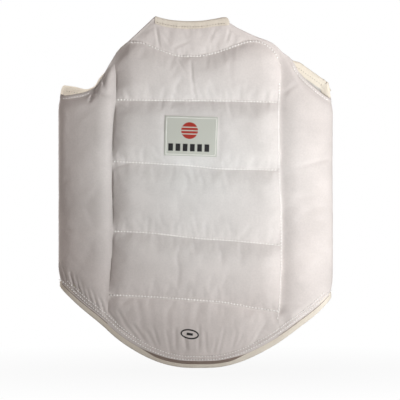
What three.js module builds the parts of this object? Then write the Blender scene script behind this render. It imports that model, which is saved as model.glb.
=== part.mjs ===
// Chest protector for karate: a padded vest with a quilted front, two hinged back halves,
// two shoulder flaps and two elastic closing straps. Millimetres, +Z up, front towards -Y,
// origin at the lowest point of the hem, on the centre plane, half way through the depth.
// The vest is modelled fastened and pressed flat, as it lies or hangs when nobody wears it.
import * as THREE from "three";
import { mergeVertices } from "three/addons/utils/BufferGeometryUtils.js";

// Driving dimensions
const HALF_WIDTH = 206; // centre plane to the outside of a side fold
const HEM_RISE = 112; // height of the hem at the side folds over the hem in the middle
const NECK_Z = 517; // lowest point of the neck edge
const SHOULDER_IN = [56, 522]; // [x, z] of the neck end of a shoulder fold
const SHOULDER_OUT = [125, 472]; // [x, z] of the arm end of the straight shoulder fold
const INNER_DEPTH = 26; // wearer surface, front to centre of depth, and the same behind
const FLAT_HALF = 30; // half width of the flat middle of the wearer surface
const FOLD_THICKNESS = 7; // all layers together at a side fold
const EDGE_THICKNESS = 5; // all layers together along hem, neck and armholes
const CHEST_THICKNESS = 14; // all layers together on the quilted centre panel
const SIDE_THICKNESS = 11; // all layers together on the side panels
const BACK_THICKNESS = 10; // all layers together on the back halves
const SKIN = 1; // one layer of cloth with its seam allowance
const PLAY = 0.5; // clearance between cloth and padding
const FOLD_PLAY = 0.3; // half of the slit between front and back at a side fold
const SEAM = 125; // centre plane to the vertical seam, measured along the cloth
const SEAM_PLAY = 0.5; // gap between the centre panel and a side panel
const GROOVE = 12; // half width of a quilted valley
const GROOVE_FILL = 0.5; // share of the loft left in the valley
const BACK_EDGE = 40; // centre plane to the free edge of a back half
const BAND = 10; // height of the sewn edge bands
const BAND_CLOTH = 0.6;
const BAND_PLAY = 0.4; // gap between a band and the cloth that it holds
const FACING = 7; // height of the strip stitched above the hem band
const QUILT_Z = [97, 194, 298, 398]; // quilt lines, from the lowest up; the top one is curved
const STRAP_Z = [[135, 185], [245, 295]]; // lower and upper strap, bottom and top edges
const STRAP_END = 110; // free end of a strap, measured along the cloth
const STRAP_CLOTH = 2.1;
const STRAP_PLAY = 0.4; // gap between a strap's sewn end and the back half
const TAPE = 1; // hook tape and loop tape
const TAPE_PLAY = 0.3;
const FLAP_X = [62, 118]; // inner and outer edge of a shoulder flap
const FLAP_DROP = 70; // length of a shoulder flap
const FLAP_Y = [-5.6, -1.8]; // front and back face of a hanging shoulder flap
const LABEL_X = [-46, 33];
const LABEL_Z = [316, 375];
const PANEL_Z = [200, 300, 350]; // plain rows between the edges of a side panel or back half
const LABEL_CLOTH = 0.7;
const MARK = { x: -9, z: 50, halfWide: 13.5, halfTall: 7, print: 0.3 };

const FRONT = -1;
const BACK = 1;
const LEFT = -1;
const RIGHT = 1;

const cloth = (color, roughness) => new THREE.MeshStandardMaterial({ color, roughness, metalness: 0 });
const whiteCotton = () => cloth(0xe8e5e1, 0.9);
const lining = () => cloth(0xdedad4, 0.9);
const foam = () => cloth(0xf1ead0, 1);
const creamTape = () => cloth(0xe6dccb, 0.85);
const satin = () => cloth(0xcdd2c8, 0.55);
const ink = () => cloth(0x1c1a1a, 0.7);
const elastic = () => cloth(0xf0efed, 0.8);
const hookTape = () => cloth(0xf4f4f2, 0.75);
const loopTape = () => cloth(0xebeae6, 0.95);

// Value at x of a line through [x, value] pairs.
function along(pairs, x) {
  const next = pairs.findIndex(([edge]) => edge >= x);
  if (next === 0) return pairs[0][1];
  if (next < 0) return pairs[pairs.length - 1][1];
  const [x0, a] = pairs[next - 1];
  const [x1, b] = pairs[next];
  return a + ((b - a) * (x - x0)) / (x1 - x0);
}

// Outlines, as heights over the distance from the centre plane
const LOWEST = BAND_PLAY + BAND_CLOTH;
const hem = (x) => {
  const outside = Math.max(0, Math.abs(x) - FLAT_HALF) / (HALF_WIDTH - FLAT_HALF);
  return LOWEST + HEM_RISE * outside ** 1.5;
};
const frontTop = (x) =>
  along([
    [0, NECK_Z], [30, 518.5], SHOULDER_IN, SHOULDER_OUT,
    [143, 446], [160, 427], [182, 412], [206, 405],
  ], Math.abs(x));
const topQuilt = (x) =>
  along([[0, 466], [30, 468], [60, 481], [90, 488], [108, 478], [125, 460]], Math.abs(x));
const backHem = (x) => along([[40, 66], [120, 78], [206, 116]], Math.abs(x));
const backTop = (x) =>
  along([
    [40, 440], [52, 474], [66, 485], [80, 484],
    [120, 458], [147, 440], [170, 432], [203, 422],
  ], Math.abs(x));

// Depth of the wearer surface over the height: the vest gets thinner at its shoulders and hem.
const frontDepth = (z) => along([[0, 18], [140, INNER_DEPTH], [390, INNER_DEPTH], [490, 8]], z);
const backDepth = (z) => along([[60, 20], [140, INNER_DEPTH], [300, INNER_DEPTH], [400, 3]], z);

// Half of the wearer surface seen from above: a flat middle, then a bend round to the side fold.
const SIDE_X = HALF_WIDTH - FOLD_THICKNESS;
const plan = new THREE.Path();
plan.moveTo(0, INNER_DEPTH - FOLD_PLAY);
plan.lineTo(FLAT_HALF, INNER_DEPTH - FOLD_PLAY);
plan.bezierCurveTo(120, INNER_DEPTH - FOLD_PLAY, SIDE_X, 16, SIDE_X, 0);
const REACH = plan.getLength();

// A point of the vest: u runs along the cloth from the centre plane, z is the height, and h is
// the distance outwards from the wearer surface. half is FRONT or BACK.
function place(half, u, z, h) {
  const share = Math.min(1, Math.abs(u) / REACH);
  const flat = plan.getPointAt(share);
  const slope = plan.getTangentAt(share);
  const depth = half === FRONT ? frontDepth(z) : backDepth(z);
  const scale = (depth - FOLD_PLAY) / (INNER_DEPTH - FOLD_PLAY);
  const normal = new THREE.Vector2(-slope.y * scale, slope.x).normalize();
  const x = flat.x + normal.x * h;
  const y = FOLD_PLAY + flat.y * scale + normal.y * h;
  return new THREE.Vector3(Math.sign(u) * x, half * y, z);
}

const atX = (u) => plan.getPointAt(Math.min(1, Math.abs(u) / REACH)).x;

const vest = new THREE.Group();

// Adds a closed body, turning its faces outwards if the mapping mirrored it.
function add(name, geometry, material) {
  geometry.deleteAttribute("normal");
  geometry.deleteAttribute("uv");
  const merged = mergeVertices(geometry, 1e-3);
  const index = merged.index.array;
  const corner = (i) => new THREE.Vector3().fromBufferAttribute(merged.attributes.position, index[i]);
  let volume = 0;
  for (let i = 0; i < index.length; i += 3) {
    volume += corner(i).dot(corner(i + 1).cross(corner(i + 2)));
  }
  if (volume < 0) index.reverse();
  merged.computeVertexNormals();
  const mesh = new THREE.Mesh(merged, material);
  mesh.name = name;
  vest.add(mesh);
}

// Moves every vertex of a geometry to where map(x, y, z) says.
function warp(geometry, map) {
  const position = geometry.attributes.position;
  for (let v = 0; v < position.count; v++) {
    const moved = map(position.getX(v), position.getY(v), position.getZ(v));
    position.setXYZ(v, moved.x, moved.y, moved.z);
  }
  return geometry;
}

// A box cut into wide x tall cells, with the diagonals of both large faces running the same way,
// so that layers stacked on one another stay parallel.
function grid(wide, tall) {
  const box = new THREE.BoxGeometry(wide, 1, tall, wide, 1, tall);
  const index = box.index.array;
  const { start, count } = box.groups[3];
  for (let i = start; i < start + count; i += 6) {
    const [a, b, d, , c] = index.slice(i, i + 5);
    index.set([a, b, c, a, c, d], i);
  }
  return box;
}

// A layer of cloth or padding over a grid of columns and rows. bottom and top give its heights
// above the wearer surface from the thickness of the whole quilt there.
function layer(panel, columns, rows, bottom, top) {
  const wide = columns.length - 1;
  const tall = rows.length - 1;
  return warp(grid(wide, tall), (a, b, c) => {
    const u = columns[Math.round(a + wide / 2)];
    const row = rows[Math.round(c + tall / 2)];
    const thickness = EDGE_THICKNESS + (panel.loft(Math.abs(u)) - EDGE_THICKNESS) * row.fill;
    return place(panel.half, u, row.z(atX(u)), b > 0 ? top(thickness) : bottom(thickness));
  });
}

const addLining = (name, panel) =>
  add(name, layer(panel, panel.columns, panel.rows, () => 0, () => SKIN), lining());
const addCover = (name, panel) =>
  add(name, layer(panel, panel.columns, panel.rows, (t) => t - SKIN, (t) => t), whiteCotton());

// Padding between two rows of a panel, kept clear of the cloth and of its seams.
function addPadding(name, panel, columns, first, last) {
  const rows = panel.rows.slice(first, last + 1).map((row) => ({ ...row }));
  const lowest = rows[0].z;
  const highest = rows[rows.length - 1].z;
  rows[0].z = (x) => lowest(x) + PLAY;
  rows[rows.length - 1].z = (x) => highest(x) - PLAY;
  add(name, layer(panel, columns, rows, () => SKIN + PLAY, (t) => t - SKIN - PLAY), foam());
}

// Section of a folded edge band: h across the quilt's edge, d down from the edge.
function bandSection() {
  const out = BAND_PLAY + BAND_CLOTH;
  const far = EDGE_THICKNESS + out;
  return new THREE.Shape([
    [-out, BAND], [-out, -out], [far, -out], [far, BAND],
    [far - BAND_CLOTH, BAND], [far - BAND_CLOTH, -BAND_PLAY], [-BAND_PLAY, -BAND_PLAY], [-BAND_PLAY, BAND],
  ].map(([h, d]) => new THREE.Vector2(h, d)));
}

// Extrudes a section of h and d along a run of stations; at(station, h, d) gives the point.
function run(section, stations, at) {
  const steps = stations.length - 1;
  const bar = new THREE.ExtrudeGeometry(section, { depth: steps, steps, bevelEnabled: false });
  return warp(bar, (h, d, step) => at(stations[Math.round(step)], h, d));
}

// A band folded over the upper edge (down = 1) or the hem (down = -1).
function addBand(name, half, columns, edge, down, material) {
  const at = (u, h, d) => place(half, u, edge(atX(u)) - down * d, h);
  add(name, run(bandSection(), columns, at), material);
}

const mirrored = (columns, side) => columns.map((u) => side * u);
const from = (columns, first) => columns.filter((u) => u >= first);

// Rows shared by all layers of the quilted centre panel
const quiltRows = [
  { z: hem, fill: 0 },
  { z: (x) => hem(x) + BAND + 4, fill: 0 },
  { z: () => QUILT_Z[0] - 2, fill: 0 },
  { z: () => QUILT_Z[0] + GROOVE + 2, fill: 1 },
  ...QUILT_Z.slice(1).flatMap((z) => [
    { z: () => z - GROOVE, fill: 1 },
    { z: () => z, fill: GROOVE_FILL },
    { z: () => z + GROOVE, fill: 1 },
  ]),
  { z: (x) => topQuilt(x) - GROOVE - 2, fill: 1 },
  { z: (x) => topQuilt(x) + 2, fill: 0 },
  { z: (x) => Math.max(topQuilt(x) + 3, frontTop(x) - BAND - 4), fill: 0 },
  { z: frontTop, fill: 0 },
];

// Rows of a plain padded panel between its lower and upper edges
function plainRows(bottom, top, middle) {
  const flat = BAND + 4;
  return [
    { z: bottom, fill: 0 },
    { z: (x) => bottom(x) + flat, fill: 0 },
    { z: (x) => bottom(x) + 2 * flat, fill: 1 },
    ...middle.map((z) => ({ z: () => z, fill: 1 })),
    { z: (x) => top(x) - 2 * flat, fill: 1 },
    { z: (x) => top(x) - flat, fill: 0 },
    { z: top, fill: 0 },
  ];
}

const centreHalf = [FLAT_HALF, 56, 80, 95, 110, SEAM];
const centreColumns = [...mirrored(centreHalf, LEFT).reverse(), ...centreHalf];
const bend = [140, 155, 170, 182, 192, 200, REACH];
const sideColumns = [SEAM + SEAM_PLAY, ...bend];
const backColumns = [BACK_EDGE, 52, 66, 80, 95, 110, SEAM, ...bend];

const centre = { half: FRONT, loft: () => CHEST_THICKNESS, columns: centreColumns, rows: quiltRows };

function addCentrePanel() {
  addCover("centre_cover", centre);
  addLining("centre_lining", centre);
  const quiltPad = centreColumns.map((u) => u - Math.sign(u) * (Math.abs(u) === SEAM ? PLAY : 0));
  addPadding("apron_wadding", centre, quiltPad, 0, 2);
  addPadding("chest_pad_lowest", centre, quiltPad, 2, 5);
  addPadding("chest_pad_lower", centre, quiltPad, 5, 8);
  addPadding("chest_pad_upper", centre, quiltPad, 8, 11);
  addPadding("chest_pad_top", centre, quiltPad, 11, 14);
  addPadding("neck_wadding", centre, quiltPad, 14, 16);
}

function addSidePanel(word, side) {
  const panel = {
    half: FRONT,
    loft: (u) => along([[REACH - 40, SIDE_THICKNESS], [REACH, FOLD_THICKNESS]], u),
    columns: mirrored(sideColumns, side),
    rows: plainRows(hem, frontTop, PANEL_Z),
  };
  addCover(word + "_side_cover", panel);
  addLining(word + "_side_lining", panel);
  addPadding(word + "_side_pad", panel, panel.columns, 1, panel.rows.length - 2);
  const armhole = mirrored(from(sideColumns, 155), side);
  addBand(word + "_armhole_facing", FRONT, armhole, frontTop, 1, whiteCotton());
}

function addFrontEdges() {
  const hemColumns = [...mirrored(sideColumns, LEFT).reverse(), ...centreColumns, ...sideColumns];
  addBand("hem_binding", FRONT, hemColumns, hem, -1, creamTape());
  addBand("neck_binding", FRONT, centreColumns.filter((u) => Math.abs(u) <= 56), frontTop, 1, creamTape());
  const low = EDGE_THICKNESS + BAND_PLAY;
  const strip = new THREE.Shape([
    [low, BAND + PLAY], [low + BAND_CLOTH, BAND + PLAY],
    [low + BAND_CLOTH, BAND + FACING], [low, BAND + FACING],
  ].map(([h, d]) => new THREE.Vector2(h, d)));
  const innerColumns = hemColumns.filter((u) => Math.abs(u) <= SEAM);
  const at = (u, h, d) => place(FRONT, u, hem(atX(u)) + d, h);
  add("hem_facing", run(strip, innerColumns, at), whiteCotton());
}

// A flat patch that follows the vest between two columns and two heights.
function patch(half, columns, [low, high], bottom, top) {
  const wide = columns.length - 1;
  return warp(grid(wide, 1), (a, b, c) => {
    const u = columns[Math.round(a + wide / 2)];
    return place(half, u, c > 0 ? high : low, b > 0 ? top(u) : bottom(u));
  });
}

function addPrintedParts() {
  const under = CHEST_THICKNESS + TAPE_PLAY;
  const columns = [LABEL_X[0], -FLAT_HALF, FLAT_HALF, LABEL_X[1]];
  add("chest_label", patch(FRONT, columns, LABEL_Z, () => under, () => under + LABEL_CLOTH), satin());
  const oval = new THREE.Shape().absellipse(MARK.x, MARK.z, MARK.halfWide, MARK.halfTall, 0, 2 * Math.PI);
  const inked = { depth: MARK.print, bevelEnabled: false, curveSegments: 12 };
  const print = new THREE.ExtrudeGeometry(oval, inked);
  const on = EDGE_THICKNESS + TAPE_PLAY;
  add("size_mark", warp(print, (x, z, h) => place(FRONT, x, z, on + h)), ink());
}

function addBackHalf(word, side) {
  const loft = (u) => along([
    [52, EDGE_THICKNESS], [66, BACK_THICKNESS], [REACH - 40, BACK_THICKNESS], [REACH, FOLD_THICKNESS],
  ], u);
  const panel = {
    half: BACK,
    loft,
    columns: mirrored(backColumns, side),
    rows: plainRows(backHem, backTop, PANEL_Z),
  };
  const name = (piece) => word + "_back_" + piece;
  addCover(name("cover"), panel);
  addLining(name("lining"), panel);
  addPadding(name("pad"), panel, mirrored(from(backColumns, 52), side), 1, panel.rows.length - 2);
  addBand(name("armhole_binding"), BACK, mirrored(from(backColumns, 140), side), backTop, 1, creamTape());
  const tab = backColumns.filter((u) => u >= 52 && u <= SEAM);
  addBand(name("shoulder_binding"), BACK, mirrored(tab, side), backTop, 1, creamTape());
  addBand(name("hem_binding"), BACK, mirrored(from(backColumns, 52), side), backHem, -1, creamTape());
  const at = (row, h, d) => place(BACK, side * (BACK_EDGE + d), row.z(BACK_EDGE + d), h);
  add(name("centre_binding"), run(bandSection(), panel.rows.slice(1, -1), at), creamTape());
}

const strapLift = (u) => BACK_THICKNESS + along([[-SEAM, STRAP_PLAY], [-52, 2 * TAPE + 3 * TAPE_PLAY]], u);

function addStrap(word, [low, high]) {
  const free = [-SEAM, -110, -95, -80, -66, -52, -FLAT_HALF, FLAT_HALF, 52, 66, 80, 95, STRAP_END];
  const outside = (u) => strapLift(u) + STRAP_CLOTH;
  add(word + "_elastic", patch(BACK, free, [low, high], strapLift, outside), elastic());
  const hooked = [66, 80, 95, STRAP_END];
  const inset = [low + 3, high - 3];
  const loopTop = BACK_THICKNESS + TAPE_PLAY + TAPE;
  const hookLow = loopTop + TAPE_PLAY;
  const hook = patch(BACK, hooked, inset, () => hookLow, () => hookLow + TAPE);
  add(word + "_strap_hook_tape", hook, hookTape());
  const pad = [66, 80, 95, 110, SEAM, 140];
  const wide = [low - 4, high + 4];
  add(word + "_strap_loop_tape", patch(BACK, pad, wide, () => loopTop - TAPE, () => loopTop), loopTape());
  const sewn = [-155, -140, -SEAM - 2 * TAPE_PLAY];
  const seat = BACK_THICKNESS + STRAP_PLAY;
  const anchor = patch(BACK, sewn, [low, high], () => seat, () => seat + STRAP_CLOTH);
  add(word + "_strap_anchor", anchor, elastic());
}

// Height of the straight shoulder fold over the distance from the centre plane
const shoulder = (x) => along([SHOULDER_IN, SHOULDER_OUT], x);

// A slanted plate that hangs parallel to the shoulder fold, from one drop to another.
function hanging([inner, outer], [upper, lower], [front, back]) {
  const outline = new THREE.Shape([
    [inner, shoulder(inner) - upper], [outer, shoulder(outer) - upper],
    [outer, shoulder(outer) - lower], [inner, shoulder(inner) - lower],
  ].map(([x, z]) => new THREE.Vector2(x, z)));
  const plate = new THREE.ExtrudeGeometry(outline, { depth: back - front, bevelEnabled: false });
  return warp(plate, (x, z, y) => new THREE.Vector3(x, front + y, z));
}

function addShoulder(word, side) {
  const flip = (geometry) => geometry.scale(side, 1, 1);
  add(word + "_shoulder_flap", flip(hanging(FLAP_X, [0.5, FLAP_DROP], FLAP_Y)), whiteCotton());
  const tapeX = [FLAP_X[0] + 6, FLAP_X[1] - 6];
  const hookY = [FLAP_Y[1] + TAPE_PLAY, FLAP_Y[1] + TAPE_PLAY + TAPE];
  add(word + "_flap_hook_tape", flip(hanging(tapeX, [38, FLAP_DROP - 4], hookY)), hookTape());
  const loopY = [hookY[1] + TAPE_PLAY, hookY[1] + TAPE_PLAY + TAPE];
  add(word + "_tab_loop_tape", flip(hanging(tapeX, [36, FLAP_DROP - 2], loopY)), loopTape());
}

addCentrePanel();
addSidePanel("left", LEFT);
addSidePanel("right", RIGHT);
addFrontEdges();
addPrintedParts();
addBackHalf("left", LEFT);
addBackHalf("right", RIGHT);
addStrap("lower", STRAP_Z[0]);
addStrap("upper", STRAP_Z[1]);
addShoulder("left", LEFT);
addShoulder("right", RIGHT);

export default vest;
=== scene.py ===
"""A white padded karate chest protector, built round its CAD frame.

Lengths in this script are millimetres in the frame's own axes: +X right, -Y front, +Z up.
place() turns a spot on the vest into metres, and almost every piece is made from it.
"""

import math
from functools import partial

import bmesh
import bpy
import numpy as np
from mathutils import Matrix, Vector


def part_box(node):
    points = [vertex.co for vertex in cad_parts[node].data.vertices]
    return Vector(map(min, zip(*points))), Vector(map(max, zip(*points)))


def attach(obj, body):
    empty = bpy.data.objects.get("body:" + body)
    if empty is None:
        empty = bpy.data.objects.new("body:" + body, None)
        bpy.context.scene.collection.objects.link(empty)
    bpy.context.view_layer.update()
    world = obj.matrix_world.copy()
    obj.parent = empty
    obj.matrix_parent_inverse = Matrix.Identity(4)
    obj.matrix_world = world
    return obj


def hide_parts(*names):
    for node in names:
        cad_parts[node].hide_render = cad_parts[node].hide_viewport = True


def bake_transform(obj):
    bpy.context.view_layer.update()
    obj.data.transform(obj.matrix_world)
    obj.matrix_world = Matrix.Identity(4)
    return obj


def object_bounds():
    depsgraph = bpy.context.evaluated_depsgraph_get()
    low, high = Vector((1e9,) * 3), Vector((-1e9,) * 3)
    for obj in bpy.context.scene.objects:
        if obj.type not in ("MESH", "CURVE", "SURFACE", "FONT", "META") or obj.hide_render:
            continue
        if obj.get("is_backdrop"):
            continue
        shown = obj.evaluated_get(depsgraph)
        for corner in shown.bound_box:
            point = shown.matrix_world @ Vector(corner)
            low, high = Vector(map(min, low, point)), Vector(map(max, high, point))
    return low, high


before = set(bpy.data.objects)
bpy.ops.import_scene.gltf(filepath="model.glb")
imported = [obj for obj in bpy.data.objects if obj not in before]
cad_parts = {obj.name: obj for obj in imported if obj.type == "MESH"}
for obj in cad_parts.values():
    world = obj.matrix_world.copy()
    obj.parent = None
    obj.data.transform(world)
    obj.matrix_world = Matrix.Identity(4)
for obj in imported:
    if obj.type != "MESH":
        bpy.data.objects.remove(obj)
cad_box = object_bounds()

MM = 0.001
FRONT, BACK = -1, 1
LEFT, RIGHT = -1, 1
WORD = {LEFT: "left", RIGHT: "right"}

# Sizes taken from the frame
HALF_WIDTH = cad_box[1][0] / MM
STRAPS = {word: [corner.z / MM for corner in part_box(word + "_elastic")] for word in ("lower", "upper")}

# Driving sizes of the cloth
INNER_DEPTH = 26.0  # from the middle of the vest to the wearer surface
FOLD_THICKNESS = 7.0
EDGE_THICKNESS = 4.0
THINNEST = 2.6
CHEST_LOFT = 15.5
CROWN = 1.2  # how much further the middle of a large channel rises
SIDE_LOFT = 11.0
BACK_LOFT = 9.5
VALLEY = 6.0
CLOTH = 1.1
STITCH_PITCH = 4.6
TAPE_PITCH = 4.2
BINDING = 9.0
FACING = 16.0
BACK_GAP = 40.0  # from the centre plane to a back half's free edge
SIDE_INNER = HALF_WIDTH - FOLD_THICKNESS


# ---- curves and noise


def curve(*points):
    """A smooth function through (x, value) points, level beyond its ends."""
    xs, ys = np.array(points, float).T
    slopes = np.gradient(ys, xs)

    def at(x):
        x = np.clip(np.asarray(x, float), xs[0], xs[-1])
        i = np.clip(np.searchsorted(xs, x) - 1, 0, len(xs) - 2)
        w = xs[i + 1] - xs[i]
        t = (x - xs[i]) / w
        rise = (3 - 2 * t) * t * t
        bend = w * t * (1 - t) * (slopes[i] * (1 - t) - slopes[i + 1] * t)
        return ys[i] * (1 - rise) + ys[i + 1] * rise + bend

    return at


def smooth(t):
    t = np.clip(t, 0, 1)
    return t * t * (3 - 2 * t)


def bulge(distance, width):
    """0 at a seam, rising steeply and then ever more gently to 1 at the given distance from it."""
    left = 1 - np.clip(distance / width, 0, 1)
    return 0.2 * np.sqrt(1 - left**2) + 0.8 * (1 - left**2)


def between_corners(corner, a, b):
    """The value at shares a and b across a cell whose corners are corner(0 or 1, 0 or 1)."""
    low = corner(0, 0) * (1 - a) + corner(1, 0) * a
    high = corner(0, 1) * (1 - a) + corner(1, 1) * a
    return low * (1 - b) + high * b


def noise(x, seed):
    """Smooth noise from -1 to 1 along a line, one bump per unit."""
    table = np.random.RandomState(seed).uniform(-1, 1, 1024)
    x = np.asarray(x, float) + 300  # every spot of the vest is positive after this
    i = np.floor(x).astype(int)
    return table[i % 1024] + (table[(i + 1) % 1024] - table[i % 1024]) * smooth(x - i)


def noise2(x, z, seed):
    """Smooth noise from -1 to 1 over a plane."""
    table = np.random.RandomState(seed).uniform(-1, 1, (128, 128))
    x, z = np.asarray(x, float) + 60, np.asarray(z, float) + 60
    i, k = np.floor(x).astype(int), np.floor(z).astype(int)
    return between_corners(lambda a, b: table[(i + a) % 128, (k + b) % 128], smooth(x - i), smooth(z - k))


def crease(x, z, start_x, start_z, end_x, end_z, width, depth):
    """A fold line between two spots: a valley with a soft ridge on either side of it."""
    dx, dz = end_x - start_x, end_z - start_z
    length = math.hypot(dx, dz)
    t = ((x - start_x) * dx + (z - start_z) * dz) / length**2
    off = ((x - start_x) * dz - (z - start_z) * dx) / length
    ends = smooth((t + 0.15) / 0.3) * smooth((1.15 - t) / 0.5)
    q = (off / width) ** 2
    return -depth * ends * (1 - 0.9 * q) * np.exp(-q)


def creases(x, z, folds):
    return sum(crease(x, z, *fold) for fold in folds)


# ---- outlines of the vest

NECK_LEFT, NECK_RIGHT = -61, 51  # where the neck's edge meets the shoulders
neck_edge = curve((-61, 525), (-45, 520.5), (-20, 517.5), (10, 518), (30, 521), (42, 523), (46.5, 522.8),
                  (49.5, 520.3), (51, 516.8))
neck_tape_edge = curve((-61, 514.5), (-45, 510), (-20, 507), (10, 507.5), (30, 510.5), (51, 512.5))
left_shoulder = curve((-206, 405.5), (-185, 408), (-160, 414), (-150, 421), (-139, 437),
                      (-128, 456), (-115, 475), (-103, 486), (-81, 506.5), (-61, 525.5))
right_shoulder = curve((51, 516), (62, 509), (76, 502), (93, 494.5), (108, 489), (119, 483),
                       (130, 472.5), (147, 457), (153, 445), (160, 436.5), (169, 427.5),
                       (184, 415), (199, 405), (206, 402))
hem = curve((-206, 120), (-173, 91), (-143, 67), (-112, 40.5), (-83, 22), (-53, 8.5), (-23, 1.7),
            (7, 0.6), (37, 2), (67, 9.5), (98, 23.5), (128, 41), (157, 62), (187, 85), (206, 103))
left_seam = curve((60, -133), (85, -131), (138, -127), (174, -124), (204, -123), (300, -124),
                  (364, -122), (406, -118.5), (440, -119), (470, -124))
right_seam = curve((70, 124), (88, 126), (127, 128), (220, 129), (296, 126), (382, 125.5),
                   (420, 127), (456, 127.5), (480, 125))
QUILT_LINES = [
    curve((-128, 109), (-60, 106), (7, 101), (38, 98.5), (84, 90.5), (126, 84)),
    curve((-124, 204), (-75, 202), (7, 193), (53, 190), (126, 183)),
    curve((-124, 308), (-50, 304), (7, 300), (23, 298), (80, 296), (126, 295)),
    curve((-120, 400), (-50, 399), (30, 398.5), (126, 396)),
    curve((-134, 470), (-118, 480), (-103, 485.5), (-88, 486.5), (-76, 484), (-61, 478), (-46, 472),
          (-29, 466.5), (-11, 465.5), (9, 466), (38, 473), (61, 481.5), (82, 487.5), (95, 487),
          (110, 479), (120, 468), (127, 452)),
]
BACK_TOPS = {
    LEFT: curve((-206, 408), (-205.4, 415), (-204.4, 419.5), (-202.5, 421), (-198, 421), (-185, 419.5),
                (-158, 417.5), (-150, 423), (-145, 432), (-139, 439), (-130, 448), (-117, 459),
                (-100, 471), (-85, 480), (-66, 483), (-52, 470), (-42, 440)),
    RIGHT: curve((42, 440), (52, 470), (66, 483), (85, 481), (110, 474), (130, 466), (147, 459),
                 (157, 456), (170, 447), (191, 433), (201, 426), (205, 418), (206, 403)),
}
BACK_HEMS = {
    LEFT: curve((-206, 120), (-170, 104), (-110, 85), (-42, 72)),
    RIGHT: curve((42, 72), (110, 82), (170, 95), (206, 104)),
}

# Creases: start and end, each an x and a height, then half the width and the depth
SIDE_CREASES = {
    LEFT: [(-146, 424, -158, 396, 2.6, 4.2), (-138, 444, -136, 412, 2.4, 3.4), (-152, 412, -124, 401, 2, 2.2),
           (-153, 430, -140, 419, 2.2, 1.2), (-176, 409, -182, 400, 3, 0.8), (-205, 207, -150, 205, 3, 0.5)],
    RIGHT: [(150, 424, 130, 408, 4.5, 0.9), (131, 98, 160, 93, 4.5, 0.8), (200, 312, 150, 300, 5, 0.5)],
}
YOKE_CREASES = [(-59, 510, -54, 478, 2.4, 1.3), (-49, 500, -36, 480, 3, 0.5), (53, 512, 46, 486, 2.6, 1.2),
                (30, 508, 20, 486, 3, 0.5), (-34, 478, -6, 490, 3, 0.7), (8, 500, 28, 494, 3.5, 0.4)]
CHEST_CREASES = [(-7, 458, -4, 420, 2.0, 0.55), (-27, 460, -12, 436, 2.2, 0.5),
                 (-118, 300, -96, 306, 2.4, 0.6), (-117, 392, -98, 384, 2.4, 0.6)]
LABEL_CORNERS = ((-46.5, 317.0), (31.5, 314.5), (33.5, 373.5), (-45.0, 376.0))

# Depth of the wearer surface in front of and behind the middle of the vest
front_depth = curve((0, 17.5), (60, 21), (140, 26), (260, 26), (360, 26), (400, 21), (430, 16), (480, 11),
                    (526, 8.5))
back_depth = curve((60, 20), (140, 26), (220, 26), (300, 24), (350, 17), (400, 9), (450, 7.5), (500, 7))


def front_top(x):
    x = np.asarray(x, float)
    right = np.where(x > NECK_RIGHT, right_shoulder(x), neck_edge(x))
    return np.where(x < NECK_LEFT, left_shoulder(x), right)


def quilt_heights(x):
    """Heights of the quilt lines, the lowest first, kept inside the outline."""
    return [np.minimum(line(x), front_top(x) - 3) for line in QUILT_LINES]


def to_quilt_line(x, z):
    """Height between a spot and the nearest quilt line."""
    return np.min([np.abs(z - height) for height in quilt_heights(x)], axis=0)


def seam_reach(side, z):
    """Distance of a side's front seam from the centre plane."""
    return np.abs(left_seam(z) if side == LEFT else right_seam(z))


def back_start(z):
    """Distance of a back half's free edge from the centre plane."""
    return BACK_GAP + 12 * smooth((np.asarray(z, float) - 430) / 45) ** 2


SHOULDER_RUN, SHOULDER_FALL = 69, 50


def shoulder_line(x):
    """Height of the straight shoulder fold at a distance from the centre plane."""
    return 522 - (np.asarray(x, float) - 56) * SHOULDER_FALL / SHOULDER_RUN


def quarter_plan():
    """Stations of the wearer surface seen from above: flat in the middle, round at the side."""
    flat = 30
    t = np.linspace(0, 1, 600)[1:]
    corners = [(flat, INNER_DEPTH), (150, INNER_DEPTH), (SIDE_INNER, 19), (SIDE_INNER, 0)]
    weights = [(1 - t) ** 3, 3 * t * (1 - t) ** 2, 3 * t * t * (1 - t), t**3]
    xs, ys = (sum(w * c[axis] for w, c in zip(weights, corners)) for axis in (0, 1))
    xs = np.concatenate([np.linspace(0, flat, 60), xs])
    ys = np.concatenate([np.full(60, INNER_DEPTH), ys])
    run = np.concatenate([[0], np.cumsum(np.hypot(np.diff(xs), np.diff(ys)))])
    return run, xs, ys, np.gradient(xs, run), np.gradient(ys, run)


RUN, PLAN_X, PLAN_Y, PLAN_DX, PLAN_DY = quarter_plan()
REACH = RUN[-1]  # along the wearer surface from the centre plane to the side fold


def place(half, u, z, h):
    """Metres of a point u along the cloth from the centre plane, at height z, h outwards from
    the wearer surface, on the front or back half."""
    u, z, h = np.broadcast_arrays(np.asarray(u, float), z, h)
    s = np.abs(u)
    scale = np.where(np.asarray(half) < 0, front_depth(z), back_depth(z)) / INNER_DEPTH
    dx = np.interp(s, RUN, PLAN_DX)
    dy = np.interp(s, RUN, PLAN_DY) * scale
    size = np.hypot(dx, dy)
    x = np.interp(s, RUN, PLAN_X) - dy / size * h
    y = np.interp(s, RUN, PLAN_Y) * scale + dx / size * h
    return np.stack([np.sign(u) * x, half * y, z], -1) * MM


on_front, on_back = partial(place, FRONT), partial(place, BACK)


def wrap(side, r, z, h):
    """place() for cloth that runs on round the side fold: r is counted from the front's middle."""
    r = np.asarray(r, float)
    return place(np.where(r < REACH, FRONT, BACK), side * np.minimum(r, 2 * REACH - r), z, h)


def shown_x(side, r):
    """X of the outer cloth at running distance r."""
    s = np.minimum(r, 2 * REACH - r)
    return side * (np.interp(s, RUN, PLAN_X) - np.interp(s, RUN, PLAN_DY) * FOLD_THICKNESS)


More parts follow.
